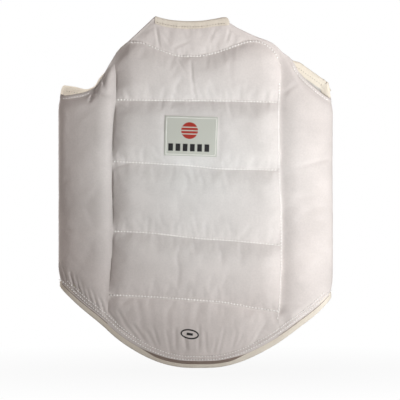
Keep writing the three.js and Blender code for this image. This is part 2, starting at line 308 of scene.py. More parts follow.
def side_outline(side, r):
    """Lower and upper edge of the cloth that runs from the front seam round to the back."""
    x = shown_x(side, r)
    front = r < REACH
    return np.where(front, hem(x), BACK_HEMS[side](x)), np.where(front, front_top(x), BACK_TOPS[side](x))


# ---- cloth simulation

LATTICE = 3.0  # spacing of the simulated cloth's threads
SWELL_CAP = 2.5
SWELL_FRAMES = 20
CENTRE_SWELL, SIDE_SWELL = 0.6, 0.4  # shares of the simulated rise that the cloth keeps
CLOTH_SETTINGS = {
    "quality": 6, "mass": 0.2, "tension_stiffness": 12, "compression_stiffness": 12, "shear_stiffness": 3,
    "bending_stiffness": 0.5, "air_damping": 3, "vertex_group_mass": "pins", "shrink_min": -0.012,
    "use_pressure": True,
}
swell_maps = {}


def new_object(name, data):
    obj = bpy.data.objects.new(name, data)
    bpy.context.scene.collection.objects.link(obj)
    return obj


def swell(key, us, zs, points, pinned, pressure):
    """Simulates a sheet of cloth, sewn down where pinned and blown out by the padding behind it,
    and keeps how far each spot moves along its own normal."""
    n, m = pinned.shape
    data = bpy.data.meshes.new("sheet")
    data.from_pydata(points.reshape(-1, 3).tolist(), [], cells(n, m).tolist())
    sheet = new_object("sheet", data)
    group = sheet.vertex_groups.new(name="pins")
    group.add(np.flatnonzero(pinned.ravel()).tolist(), 1.0, "REPLACE")
    cloth = sheet.modifiers.new("cloth", "CLOTH")
    for setting, value in CLOTH_SETTINGS.items():
        setattr(cloth.settings, setting, value)
    cloth.settings.uniform_pressure_force = pressure
    cloth.settings.effector_weights.gravity = 0
    cloth.point_cache.frame_start = 1
    cloth.point_cache.frame_end = SWELL_FRAMES
    for number in range(1, SWELL_FRAMES + 1):
        bpy.context.scene.frame_set(number)
    bpy.context.view_layer.update()
    posed = sheet.evaluated_get(bpy.context.evaluated_depsgraph_get())
    after = np.empty(n * m * 3)
    posed.data.vertices.foreach_get("co", after)
    normal = np.cross(np.gradient(points, axis=1), np.gradient(points, axis=0))
    normal /= np.linalg.norm(normal, axis=2)[..., None]
    rise = ((after.reshape(n, m, 3) - points) * normal).sum(2) / MM
    rise = SWELL_CAP * np.tanh(rise / SWELL_CAP)
    swell_maps[key] = (us[0], zs[0], np.where(pinned, 0, rise))
    bpy.data.objects.remove(sheet)
    bpy.context.scene.frame_set(1)


def swelling(key, u, z):
    """How far the simulated cloth stands out at u, z; nothing where none was simulated."""
    if key not in swell_maps:
        return 0.0
    u0, z0, rise = swell_maps[key]
    n, m = rise.shape
    a = np.clip((u - u0) / LATTICE, 0, m - 1.001)
    b = np.clip((z - z0) / LATTICE, 0, n - 1.001)
    i, k = a.astype(int), b.astype(int)
    return between_corners(lambda right, up: rise[k + up, i + right], a - i, b - k)


def blow_up_centre():
    us, zs = np.arange(-138, 135, LATTICE), np.arange(-3, 531, LATTICE)
    x, z = np.meshgrid(us, zs)
    to_seam = np.minimum(x - left_seam(z), right_seam(z) - x)
    to_edge = np.minimum(front_top(x) - z - 9, z - hem(x) - 17)
    on_label = (np.abs(x + 6) < 44) & (np.abs(z - 345) < 34)
    pinned = (to_quilt_line(x, z) < 2.2) | (to_seam < 2.5) | (to_edge < 0) | on_label
    swell("centre", us, zs, on_front(x, z, centre_thickness(x, z)), pinned, 3.0)


def blow_up_side(side):
    us, zs = np.arange(120, 2 * REACH - 36, LATTICE), np.arange(0, 492, LATTICE)
    r, z = np.meshgrid(us, zs)
    low, high = side_outline(side, r)
    from_seam = np.where(r < REACH, r - seam_reach(side, z), 99)
    from_end = 2 * REACH - back_start(z) - r
    to_edge = np.minimum(high - z - 9, z - low - 17)
    pinned = (from_seam < 2.5) | (from_end < 9) | (to_edge < 0) | (np.abs(r - REACH) < 5)
    for strap_low, strap_high in STRAPS.values():
        pinned |= (r > REACH + 40) & (z > strap_low - 3) & (z < strap_high + 3)
    swell(side, us, zs, wrap(side, r, z, side_thickness(side, r, z)), pinned, 2.0)


# ---- thickness of the quilting


def right_seam_share(z):
    """1 along the right seam, falling to 0 at its foot, where the panels run on as one cloth."""
    return smooth((z - 72) / 12)


def join_at_foot(thick, from_seam, z, low):
    """Brings both panels to one thickness beside the foot of the right seam."""
    share = (1 - right_seam_share(z)) * np.exp(-((from_seam / 16) ** 2))
    return thick + (EDGE_THICKNESS + 1.6 * smooth((z - low - 10) / 24) - thick) * share


def apron_pleats(x, z):
    """Slanted gathers of the apron, drawn in by the lowest quilt line and the hem."""
    chance = np.random.RandomState(19)
    total = 0.0
    for i in range(17):
        foot = -112 + 12.5 * i + chance.uniform(-4.5, 4.5)
        low = hem(foot) + FACING + chance.uniform(0, 7)
        tall = chance.uniform(22, 44) * (1 - 0.3 * abs(foot) / 120)
        lean = -0.16 * foot + 5 * chance.uniform(-1, 1)
        depth = chance.uniform(0.8, 1.7) * (1 - 0.65 * float(smooth((foot + 5) / 40)))
        width = chance.uniform(2.2, 3.8)
        total = total + crease(x, z, foot - lean, low + tall, foot, low, width, depth)
    return total


def side_hem_pleats(x, z):
    """Gathers above the left half of the hem."""
    chance = np.random.RandomState(27)
    total = 0.0
    for i in range(8):
        foot = -197 + 9 * i + chance.uniform(-2, 2)
        low = hem(foot) + FACING + 1
        tall = chance.uniform(20, 36)
        width, depth = chance.uniform(2.0, 2.8), chance.uniform(2.0, 3.4)
        total = total + crease(x, z, foot - 0.3 * tall, low + tall, foot, low, width, depth)
    return total


def centre_thickness(x, z):
    """Thickness of the quilted centre panel, with its sewn valleys, tucks and pleats."""
    x, z = np.broadcast_arrays(np.asarray(x, float), z)
    lines = quilt_heights(x)
    low, high = hem(x), front_top(x)
    above, below = z - lines[-1], lines[0] - z
    from_hem = z - low
    seam_right = right_seam(z) - x
    to_seam = np.minimum(x - left_seam(z), seam_right)
    to_line = to_quilt_line(x, z)
    quilted = (below < 0) & (above < 0)

    channel = bulge(to_line - 0.8, 27) * bulge(to_seam, 30)
    loft = VALLEY + (CHEST_LOFT - CROWN - VALLEY) * channel
    loft = loft + CROWN * smooth(to_line / 50) * smooth(to_seam / 70)
    near_edge = bulge(high - z, 22)
    loft = EDGE_THICKNESS + (loft - EDGE_THICKNESS) * near_edge
    seat = (VALLEY - EDGE_THICKNESS) * near_edge
    yoke = EDGE_THICKNESS + seat * np.exp(-above / 4) + 1.6 * bulge(above, 14) * bulge(high - z - 6, 16)
    to_open_seam = np.where(x > 0, to_seam + 30 * (1 - right_seam_share(z)), to_seam)
    apron = EDGE_THICKNESS + seat * np.exp(-below / 4)
    apron = apron + 5.2 * bulge(below - 3, 24) * smooth((from_hem - 6) / 56) * bulge(to_open_seam, 14)
    thick = np.where(quilted, loft, np.where(above >= 0, yoke, apron))
    thick = join_at_foot(thick, seam_right, z, low)

    fade = smooth((to_seam + 2) / 6)
    tucks = 0.0
    for k, line in enumerate(lines):
        d = np.abs(z - line)
        ends = 0.45 + 0.9 * np.exp(-to_seam / 22)
        lean = x + 0.25 * (z - line) * noise(x / 40, 70 + k)
        ripple = noise(lean / 5.5, 11 + k) + 0.7 * noise(lean / 10, 31 + k)
        tucks = tucks + 0.75 * ends * ripple * np.exp(-d / 9) * smooth(d / 2.5)
    side_ripple = noise(z / 8 + 0.02 * x, 51) + 0.5 * noise(z / 17, 52)
    tucks = tucks + 0.45 * side_ripple * np.exp(-to_seam / 9) * fade
    soft = 0.45 * noise2(x / 34, z / 30, 5) + 0.2 * noise2(x / 13, z / 15, 6)

    lean = x + 0.3 * (z - 60) * noise(x / 50, 90)
    pleats = apron_pleats(x, z) + 0.45 * noise(lean / 8, 91)
    pleats = pleats * np.where(below > 0, smooth(below / 10) * smooth((from_hem - FACING + 4) / 8), 0)
    folds = creases(x, z, YOKE_CREASES) + 0.5 * noise2(x / 10, z / 16, 8)
    folds = folds * np.where(above > 0, smooth(above / 6) * smooth((high - z - 8) / 8), 0)
    folds = folds + creases(x, z, CHEST_CREASES) * quilted
    detail = tucks * near_edge + soft * fade + pleats + folds
    return np.maximum(thick + CENTRE_SWELL * swelling("centre", x, z) + detail, THINNEST)


def lip_share(x):
    """How far the front's lower edge stands off its binding, along the middle of the hem."""
    return smooth((x + 85) / 30) * smooth((80 - x) / 30)


def facing_thickness(x, z):
    """Thickness up to the strip above the hem binding, which flares out at its lower edge."""
    flare = (0.9 + 2.2 * lip_share(x)) * np.exp(-(((z - hem(x) - 9) / 5) ** 2))
    return centre_thickness(x, z) + 0.9 + flare


def side_thickness(side, r, z):
    """Thickness of a side panel and back half."""
    r, z = np.broadcast_arrays(np.asarray(r, float), z)
    x = shown_x(side, r)
    low, high = side_outline(side, r)
    in_front = r < REACH
    from_seam = np.where(in_front, np.abs(x) - seam_reach(side, z), 99)
    from_end = 2 * REACH - back_start(z) - r
    from_hem = z - low
    full = np.where(in_front, SIDE_LOFT, BACK_LOFT)
    full = full + (FOLD_THICKNESS - full) * np.exp(-(((r - REACH) / 26) ** 2))
    hem_puff = bulge(from_hem - 12, 20)
    puff = bulge(from_seam, 26) * bulge(high - z - 5, 20) * hem_puff * bulge(from_end - 4, 14)
    if side == RIGHT:
        open_share = (1 - right_seam_share(z)) * in_front * (1 - bulge(from_seam, 26))
        puff = puff + open_share * (0.4 * hem_puff - puff)
    thick = EDGE_THICKNESS + (full - EDGE_THICKNESS) * puff
    if side == RIGHT:
        thick = join_at_foot(thick, from_seam, z, low)
    sewn = 1.8 * smooth((z - 82) / 18) * smooth((468 - z) / 12) * (1 - bulge(from_seam, 6)) * in_front

    ripple = noise(z / 9, 61 + side) + 0.5 * noise(z / 19, 63 + side)
    tucks = 0.4 * ripple * np.exp(-from_seam / 12) * smooth(from_seam / 5)
    soft = 0.5 * noise2(r / 38, z / 44, 7 + side) + 0.2 * noise2(r / 14, z / 17, 17 + side)
    soft = soft * smooth((high - z - 4) / 12) * smooth((from_hem - 8) / 12)
    gathers = 0.3 * noise((x + 0.45 * from_hem) / 5.5, 41)
    if side == LEFT:
        gathers = gathers + side_hem_pleats(x, z)
    above_facing = from_hem - FACING
    gathers = gathers * smooth((above_facing + 3) / 5) * np.exp(-np.maximum(above_facing, 0) / 40)
    folds = creases(x, z, SIDE_CREASES[side]) * smooth((high - z - 1.5) / 8)
    folds = (gathers + folds) * (r < REACH - 4)
    return np.maximum(thick + SIDE_SWELL * swelling(side, r, z) + sewn + tucks + soft + folds, THINNEST)


# ---- materials

finishes = {}  # the slot that each material stands for in the CAD


def add_node(tree, kind, outlet, **inputs):
    """A shader node whose inputs are plain values or other nodes' sockets."""
    node = tree.nodes.new("ShaderNode" + kind)
    for name, value in inputs.items():
        feed(tree, node.inputs[name.replace("_", " ")], value)
    return node.outputs[outlet]


def feed(tree, socket, value):
    if isinstance(value, bpy.types.NodeSocket):
        tree.links.new(value, socket)
    else:
        socket.default_value = value


def new_material(name, slot, colour, rough, sheen=0.0):
    material = bpy.data.materials.new(name)
    material.use_nodes = True
    finishes[material.name] = slot
    shader = material.node_tree.nodes["Principled BSDF"]
    shader.inputs["Base Color"].default_value = (*colour, 1)
    shader.inputs["Roughness"].default_value = rough
    shader.inputs["Sheen Weight"].default_value = sheen
    return material, material.node_tree, shader


def scaled_coords(tree, scale=(1, 1, 1), turn=0.0, shift=(0, 0, 0)):
    coords = add_node(tree, "TexCoord", "Object")
    return add_node(tree, "Mapping", "Vector", Vector=coords, Scale=scale, Rotation=(0, turn, 0),
                    Location=shift)


def wave(tree, vector, pitch, distortion=0.4):
    """Ribs across the vector's x, pitch millimetres apart."""
    scale = math.pi / (10 * pitch * MM)
    return add_node(tree, "TexWave", "Fac", Vector=vector, Scale=scale, Distortion=distortion, Detail=1.0)


def cloud(tree, scale, detail=3.0, stretch=(1, 1, 1)):
    return add_node(tree, "TexNoise", "Fac", Vector=scaled_coords(tree, stretch), Scale=scale, Detail=detail)


def maths(tree, operation, a, b):
    node = tree.nodes.new("ShaderNodeMath")
    node.operation = operation
    feed(tree, node.inputs[0], a)
    feed(tree, node.inputs[1], b)
    return node.outputs[0]


def reach_of(tree, vector):
    """Length of a vector."""
    node = tree.nodes.new("ShaderNodeVectorMath")
    node.operation = "LENGTH"
    feed(tree, node.inputs[0], vector)
    return node.outputs["Value"]


def tint(tree, factor, dark, light, low=0.3, high=0.7):
    ramp = tree.nodes.new("ShaderNodeValToRGB")
    for stop, place_at, colour in zip(ramp.color_ramp.elements, (low, high), (dark, light)):
        stop.position = place_at
        stop.color = (*colour, 1)
    feed(tree, ramp.inputs["Fac"], factor)
    return ramp.outputs["Color"]


def bump(tree, shader, height, strength, distance):
    normal = add_node(tree, "Bump", "Normal", Strength=strength, Distance=distance, Height=height)
    feed(tree, shader.inputs["Normal"], normal)


def paint_light_cast(tree, colour, blush):
    """The colour, turning away from the chest's middle towards a painted tint of the light's colour cast,
    darker and pinker towards the edges.
    """
    mix = tree.nodes.new("ShaderNodeMixRGB")
    mix.blend_type = "MULTIPLY"
    mix.use_clamp = True
    reach = reach_of(tree, scaled_coords(tree, (5.5, 0, 4.8), shift=(0.05, 0, -1.45)))
    share = maths(tree, "MULTIPLY", reach, 0.9)
    for name, value in (("Fac", share), ("Color1", colour), ("Color2", (*blush, 1))):
        feed(tree, mix.inputs[name], value)
    return mix.outputs["Color"]


def cloth_material(name, slot, dark, light, thread=1.2, turn=0.7, strength=0.35, sheen=0.25, blush=None,
                   glow=0.0):
    """Woven cloth: fine diagonal ribs crossed by threads, uneven in shade and in surface."""
    material, tree, shader = new_material(name, slot, light, 0.85, sheen)
    ribs = wave(tree, scaled_coords(tree, (1, 0.6, 1), turn), thread, 0.6)
    cross = wave(tree, scaled_coords(tree, (1, 0.6, 1), turn - 1.4), 0.6 * thread, 0.3)
    weave = maths(tree, "ADD", ribs, maths(tree, "MULTIPLY", cross, 0.5))
    grain = maths(tree, "MULTIPLY", cloud(tree, 420, 2.0), 0.5)
    speckle = maths(tree, "ADD", maths(tree, "MULTIPLY", weave, 0.06), grain)
    shade = maths(tree, "ADD", cloud(tree, 22), maths(tree, "SUBTRACT", speckle, 0.3))
    colour = tint(tree, shade, dark, light)
    # The optional tint is painted light: darker and pinker towards the edges, standing in for the light's
    # colour cast.
    if blush:
        colour = paint_light_cast(tree, colour, blush)
    feed(tree, shader.inputs["Base Color"], colour)
    # glow is painted light: the cloth gives off its own colour, though it is no lamp.
    feed(tree, shader.inputs["Emission Color"], colour)
    shader.inputs["Emission Strength"].default_value = glow
    crumple = maths(tree, "MULTIPLY", cloud(tree, 90, 4.0, (1, 1, 0.6)), 0.0009)
    bump(tree, shader, maths(tree, "ADD", maths(tree, "MULTIPLY", weave, 0.00010), crumple), strength, 1.0)
    shader.inputs["Sheen Roughness"].default_value = 0.45
    shader.inputs["Specular IOR Level"].default_value = 0.25
    return material


def ribbed_material(name, slot, dark, light, pitch):
    """Knitted elastic: even ribs a stated number of millimetres apart, coloured darker in their troughs as
    painted shade, with random grain.
    """
    material, tree, shader = new_material(name, slot, light, 0.75, 0.2)
    rows = wave(tree, scaled_coords(tree, (0, 0, 1), math.pi / 2), pitch, 0.05)
    height = maths(tree, "ADD", rows, maths(tree, "MULTIPLY", cloud(tree, 700, 2.0), 0.5))
    # The colour follows the ribs' height: painted shade in the troughs.
    feed(tree, shader.inputs["Base Color"], tint(tree, height, dark, light, 0.2, 1.0))
    bump(tree, shader, height, 0.4, 0.0006)
    return material


def satin_material(name, slot, colour):
    material, tree, shader = new_material(name, slot, colour, 0.42, 0.15)
    threads = wave(tree, scaled_coords(tree, (0, 0, 1), math.pi / 2), 0.9, 0.1)
    feed(tree, shader.inputs["Base Color"], tint(tree, threads, [c * 0.93 for c in colour], colour))
    bump(tree, shader, threads, 0.25, 0.0002)
    return material


def plain_material(name, slot, colour, rough, grain=300.0, depth=0.0002, glow=0.0):
    material, tree, shader = new_material(name, slot, colour, rough)
    # glow is painted light: the material gives off its own colour, though it is no lamp.
    shader.inputs["Emission Color"].default_value = (*colour, 1)
    shader.inputs["Emission Strength"].default_value = glow
    spots = cloud(tree, grain)
    feed(tree, shader.inputs["Base Color"], tint(tree, spots, [c * 0.85 for c in colour], colour))
    bump(tree, shader, spots, 0.3, depth)
    return material


# The white twill's edges get a painted tint of the light's colour cast, darker and pinker away from the
# chest's middle.
WHITE = cloth_material("white_twill", "white_cotton", (0.685, 0.68, 0.67), (0.775, 0.77, 0.76),
                       blush=(1.0, 0.925, 0.905))
LINING = cloth_material("lining_cloth", "lining_cloth", (0.74, 0.72, 0.69), (0.80, 0.78, 0.75), thread=1.8,
                        sheen=0.1)
TAPE_WEAVE = {"thread": 1.5, "turn": 0.2, "strength": 0.5}
# The cream tapes glow a little: painted light that brightens them.
CREAM = cloth_material("cream_tape", "cream_binding", (0.73, 0.66, 0.57), (0.83, 0.765, 0.67), glow=0.05,
                       **TAPE_WEAVE)
# A lighter copy of the cream tape that glows more, for the armhole tapes lying in shade: painted light.
CREAM_PAINTED_LIT = cloth_material("cream_tape_at_armhole", "cream_binding", (0.76, 0.69, 0.59),
                              (0.86, 0.795, 0.69), glow=0.12, **TAPE_WEAVE)
THREAD = plain_material("white_thread", "white_cotton", (0.97, 0.965, 0.95), 0.6, glow=0.2)  # glows as painted light, so that stitches lying in shade still show white
CREAM_THREAD = plain_material("cream_thread", "cream_binding", (0.40, 0.345, 0.28), 0.75)
# A dark brown sheet put in the gaps above the hem binding: painted shade.
PAINTED_SHADE = plain_material("shaded_seam_tape", "cream_binding", (0.32, 0.25, 0.21), 0.9)
SATIN = satin_material("label_satin", "label_satin", (0.60, 0.62, 0.565))
RED = satin_material("woven_red", "printed_ink", (0.42, 0.035, 0.022))
BLACK = satin_material("woven_black", "printed_ink", (0.016, 0.016, 0.018))
INK = plain_material("printed_ink", "printed_ink", (0.012, 0.011, 0.012), 0.6)
ELASTIC = ribbed_material("ribbed_elastic", "elastic_webbing", (0.58, 0.57, 0.55), (0.92, 0.91, 0.89), 3.2)
LOOP = plain_material("loop_pile", "loop_tape", (0.93, 0.93, 0.91), 0.95, 900, 0.0012)
HOOK = plain_material("hook_pile", "hook_tape", (0.86, 0.86, 0.85), 0.5, 1400, 0.0008)
FOAM = plain_material("foam_sheet", "foam", (0.82, 0.78, 0.62), 0.9, 500, 0.0006)


# ---- making pieces


def mesh_object(name, verts, faces, material, sharp=55):
    """A smooth-shaded mesh piece whose faces point outwards."""
    data = bpy.data.meshes.new(name)
    data.from_pydata(np.asarray(verts, float).reshape(-1, 3).tolist(), [], faces)
    shape = bmesh.new()
    shape.from_mesh(data)
    inside_out = shape.calc_volume(signed=True) < 0
    shape.free()
    if inside_out:
        data.flip_normals()
    data.shade_smooth()
    data.set_sharp_from_angle(angle=math.radians(sharp))
    data.materials.append(material)
    return new_object(name, data)


def dress(obj, *nodes, ride="front", slot=None):
    """Hides the piece's CAD nodes and says what it moves with: a body, whose empty it is parented to, or for
    LEFT or RIGHT nothing, its transform being baked into its mesh. The slot argument is not used."""
    if nodes:
        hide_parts(*nodes)
    if ride in WORD:
        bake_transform(obj)
    elif ride:
        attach(obj, ride)


def cells(n, m, base=0, turn=False):
    """Quads of an n x m grid of vertices."""
    index = base + np.arange(n * m).reshape(n, m)
    quads = np.stack([index[:-1, :-1], index[:-1, 1:], index[1:, 1:], index[1:, :-1]], -1).reshape(-1, 4)
    return quads[:, ::-1] if turn else quads


def shell(name, top, bottom, material):
    """A closed sheet between two grids of points."""
    n, m = top.shape[:2]
    base = n * m
    index = np.arange(base).reshape(n, m)
    rim = np.concatenate([index[0, :-1], index[:-1, -1], index[-1, :0:-1], index[:0:-1, 0]])
    ahead = np.roll(rim, -1)
    walls = np.stack([ahead, rim, rim + base, ahead + base], -1)
    faces = np.concatenate([cells(n, m), cells(n, m, base, turn=True), walls])
    verts = np.concatenate([top.reshape(-1, 3), bottom.reshape(-1, 3)])
    return mesh_object(name, verts, faces.tolist(), material)


def sheet(name, surface, a, b, upper, lower, material, *nodes, ride="front"):
    """A dressed shell between two heights above one surface."""
    dress(shell(name, surface(a, b, upper), surface(a, b, lower), material), *nodes, ride=ride)


def bar_faces(n, m):
    """Quads round a bar of n rings of m points, and the two rings that close it."""
    index = np.arange(n * m).reshape(n, m)
    ahead = np.roll(index, -1, axis=1)
    sides = np.stack([index[:-1], ahead[:-1], ahead[1:], index[1:]], -1).reshape(-1, 4)
    return sides, (index[0, ::-1], index[-1])


def tube(name, rings, material, sharp=75):
    """A closed bar through rings of points."""
    sides, caps = bar_faces(*rings.shape[:2])
    return mesh_object(name, rings, sides.tolist() + [cap.tolist() for cap in caps], material, sharp)


THREAD_TURNS = np.linspace(0, 2 * math.pi, 6, endpoint=False)
THREAD_RINGS = ((0, 0.25, -0.2), (0.16, 0.85, 0.2), (0.5, 1, 0.42), (0.84, 0.85, 0.2), (1, 0.25, -0.2))


def stitches(name, at, starts, ends, material, radius):
    """Short thread loops lying on the cloth: at(points, lift) gives metres. THREAD_RINGS holds
    each ring's place along a stitch, its share of the radius and its lift."""
    a, b = at(starts, 0.0), at(ends, 0.0)
    up = at(starts, 1.0) - a
    up /= np.linalg.norm(up, axis=1)[:, None]
    way = b - a
    across = np.cross(way, up)
    across /= np.linalg.norm(across, axis=1)[:, None]
    rings = []
    for t, thick, lift in THREAD_RINGS:
        centre = a + way * t + up * lift * MM
        for turn in THREAD_TURNS:
            rings.append(centre + (across * math.cos(turn) + up * math.sin(turn)) * radius * thick * MM)
    verts = np.stack(rings, 1)
    sides, caps = bar_faces(len(THREAD_RINGS), len(THREAD_TURNS))
    base = verts.shape[1] * np.arange(len(a))[:, None]
    faces = (base[:, :, None] + sides).reshape(-1, 4).tolist()
    for cap in caps:
        faces += (base + cap).tolist()
    return mesh_object(name, verts, faces, material, 70)


def sewn_row(path, pitch=STITCH_PITCH, share=0.5):
    """Start and end values of stitches spread evenly along path, an array of (a, b) pairs."""
    run = np.concatenate([[0], np.cumsum(np.hypot(*np.diff(path, axis=0).T))])
    first = np.arange(int(run[-1] // pitch)) * pitch + pitch * 0.2
    pick = lambda s: np.stack([np.interp(s, run, path[:, 0]), np.interp(s, run, path[:, 1])], -1)
    return pick(first), pick(first + pitch * share)


def sew(name, at, path, radius, ride="front", material=THREAD, slot=None, pitch=STITCH_PITCH, share=0.5):
    """A dressed row of stitches along a path."""
    row = stitches(name, at, *sewn_row(path, pitch, share), material, radius)
    dress(row, ride=ride, slot=slot)


def over(surface, thickness, gap):
    """Where thread lies that keeps a gap above a surface's cloth."""
    return lambda p, lift: surface(*p.T, thickness(*p.T) + gap + lift)


def corner_path(corners, count=20):
    """A path of straight runs from corner to corner."""
    return np.concatenate([np.linspace(a, b, count) for a, b in zip(corners[:-1], corners[1:])])


def box_corners(a0, b0, a1, b1):
    return [(a0, b0), (a1, b0), (a1, b1), (a0, b1), (a0, b0)]


# ---- centre panel

ROLL = 2.2  # how far the inner layers stay below the turned shoulder edges
ROLL_TURNS = np.radians([15, 40, 65, 90, 115, 140, 165])


def cover(name, surface, u, z, thick, *nodes, ride="front"):
    """The outer cloth of a panel, with added rows that turn it over at its top edge."""
    top, radius = z[-1], thick[-1] / 2
    z = np.minimum(z, top - radius)
    u = np.concatenate([u, np.repeat(u[-1:], len(ROLL_TURNS), 0)])

    def face(thickness, bend):
        bend_z = [top - radius + bend * math.sin(a) for a in ROLL_TURNS]
        bend_h = [radius + bend * math.cos(a) for a in ROLL_TURNS]
        return surface(u, np.concatenate([z, bend_z]), np.concatenate([thickness, bend_h]))

    obj = shell(name, face(thick, radius), face(thick - CLOTH, radius - CLOTH), WHITE)
    dress(obj, *nodes, ride=ride)


def between_seams(across, z):
    return left_seam(z) + (right_seam(z) - left_seam(z)) * across


def level_between_seams(edge, across):
    """Height of an edge at shares across the panel, whose width itself depends on the height."""
    x = between_seams(across, 250)
    for _ in range(4):
        z = edge(x)
        x = between_seams(across, z)
    return z


def centre_grid(step):
    """Spots of the centre panel, rows following the quilt lines and columns the seams."""
    across = np.linspace(0, 1, int(252 / step) + 1)
    quilting = [lambda x, k=k: quilt_heights(x)[k] for k in range(len(QUILT_LINES))]
    edges = [hem, *quilting, front_top]
    levels = [level_between_seams(edge, across) for edge in edges]
    rows = []
    for low, high in zip(levels[:-1], levels[1:]):
        count = max(6, int(np.max(high - low) / step))
        even = np.arange(count) / count
        rows += [low + (high - low) * q for q in 0.35 * (1 - np.cos(np.pi * even)) / 2 + 0.65 * even]
    z = np.array(rows + [levels[-1]])
    return between_seams(across[None, :], z), z


def lining_dimple(x, z):
    """The lining is drawn outwards a little along each quilt line."""
    return 2.2 * np.exp(-to_quilt_line(x, z) / 8)


def centre_panel():
    x, z = centre_grid(2.0)
    cover("centre_cover_quilted", on_front, x, z, centre_thickness(x, z), "centre_cover")
    x, z = centre_grid(4.0)
    z = np.minimum(z, z[-1] - ROLL)
    dimple = lining_dimple(x, z)
    sheet("centre_lining_quilted", on_front, x, z, dimple + 1, dimple, LINING, "centre_lining")


def centre_padding():
    names = ["apron_wadding", "chest_pad_lowest", "chest_pad_lower", "chest_pad_upper", "chest_pad_top",
             "neck_wadding"]
    across = np.linspace(0.02, 0.98, 36)
    flat = between_seams(across, 250)
    levels = [hem(flat) + 10, *quilt_heights(flat), front_top(flat) - 9]
    for name, low, high in zip(names, levels[:-1], levels[1:]):
        high = np.maximum(high, low + 3)
        z = np.array([low + (high - low) * q for q in np.linspace(0.04, 0.96, 14)])
        x = between_seams(across[None, :], z)
        upper = np.maximum(centre_thickness(x, z) - CLOTH - 0.5, 2.9)
        sheet(name + "_foam", on_front, x, z, upper, 2.6, FOAM, name)


def quilt_stitches():
    outside = over(on_front, centre_thickness, 0.9)
    inside = lambda p, lift: on_front(*p.T, lining_dimple(*p.T) - 0.2 - lift)
    for k, line in enumerate(QUILT_LINES):
        x = np.linspace(left_seam(line(-120)) + 1.5, right_seam(line(120)) - 1.5, 260)
        path = np.stack([x, line(x)], -1)[line(x) < front_top(x) - 4]
        sew(f"quilt_stitches_{k + 1}", outside, path, 0.8)
        sew(f"lining_stitches_{k + 1}", inside, path, 0.45, slot="lining_cloth")
    z = np.linspace(72, 428, 200)
    sew("right_seam_stitches", outside, np.stack([right_seam(z) - 2.2, z], -1), 0.65)


# ---- side panels and back halves


def side_grid(side, step, front_step):
    """Spots of a side panel from the front seam round the fold to the back's free edge."""
    start, near = 127, REACH - 24
    columns = np.concatenate([
        np.linspace(0, 1, int(60 / front_step)) * (near - start) + start,
        np.linspace(near, REACH + 24, 48)[1:],
        np.linspace(REACH + 24, 2 * REACH - BACK_GAP, int(150 / step))[1:],
    ])[None, :]
    t = np.linspace(0, 1, int(360 / front_step))[:, None]
    share = np.clip((columns - start) / (near - start), 0, 1)
    r = columns + 0 * t
    for _ in range(5):
        low, high = side_outline(side, r)
        z = low + (high - low) * t
        seam = seam_reach(side, z)
        r = np.where(columns < near, seam + (near - seam) * share, columns)
    end_share = smooth((columns - (2 * REACH - 90)) / 50)
    return r - end_share * (back_start(z) - BACK_GAP), z


def side_panel(side):
    word = WORD[side]
    surface = partial(wrap, side)
    nodes = lambda layer: (f"{word}_side_{layer}", f"{word}_back_{layer}")
    r, z = side_grid(side, 3.0, 2.4)
    cover(word + "_side_cover_wrap", surface, r, z, side_thickness(side, r, z), *nodes("cover"), ride=side)

    r, z = side_grid(side, 4.0, 4.0)
    z = np.minimum(z, z[-1] - ROLL)
    sheet(word + "_side_lining_wrap", surface, r, z, 1.0, 0.0, LINING, *nodes("lining"), ride=side)

    r, z = side_grid(side, 8.0, 7.0)
    low, high = side_outline(side, r[0])
    z = np.clip(z, low + 12, high - 10)
    r, z = r[1:-1, 2:-3], z[1:-1, 2:-3]
    upper = np.maximum(side_thickness(side, r, z) - CLOTH - 0.6, 2.2)
    sheet(word + "_side_foam_wrap", surface, r, z, upper, 1.5, FOAM, *nodes("pad"), ride=side)


# ---- bindings

# A tape folded over an edge: share of the cloth's thickness, and depth as a share of its width
TAPE_PROFILE = ((1, 1), (1, 0.55), (1, 0.14), (0.85, -0.05), (0.5, -0.12), (0.15, -0.05), (0, 0.14),
                (0, 0.55), (0, 1))
TAPE_ROW = 7.0  # from an edge to the stitches in its tape
HEM_ROW, FACING_ROW = 11.4, 16.4  # from the hem to the two rows in the strip above its tape


def folded_tape(name, surface, thickness, edge, inward, stations, width, material, node, ride="front",
                lift=0.9, straight=False):
    """A tape folded over an edge. surface(s, e, h) and thickness(s, e) take a station s along the
    edge and a place e across it, edge(s) is the edge, and inward is 1 where the cloth lies at
    larger e."""
    s = stations[:, None]
    slope = 0 * s if straight else np.gradient(edge(stations), stations)[:, None]
    length = np.hypot(slope, 1)
    share, depth = np.array(TAPE_PROFILE, float).T
    inner = np.repeat([0.0, 1.0], len(depth))[None, :]
    share = np.concatenate([share, share[::-1]])[None, :]
    depth = np.concatenate([depth, depth[::-1]])[None, :] * width + inner * 0.6 * (share > 0) * (share < 1)
    depth = depth + 0.3 * noise(s / 9, 21) * (depth > width * 0.9)
    e = edge(stations)[:, None] + inward * depth / length
    along = s - inward * slope / length * depth
    rise = np.where(inner > 0, 0.12, lift + 0.15 * noise(s / 2.6, 77))
    h = share * thickness(along, e) + (2 * share - 1) * rise
    dress(tube(name, surface(along, e, h), material), node, ride=ride)


def tape_row(name, surface, thickness, edge, inward, stations, inset, material=CREAM_THREAD, ride="front",
             lift=1.0, radius=0.5):
    """A row of stitches a fixed distance in from an edge."""
    slope = np.gradient(edge(stations), stations)
    inset = inward * inset / np.hypot(slope, 1)
    path = np.stack([stations - slope * inset, edge(stations) + inset], -1)
    share = 0.42 if material is CREAM_THREAD else 0.52
    sew(name, over(surface, thickness, lift), path, radius, ride, material, pitch=TAPE_PITCH, share=share)


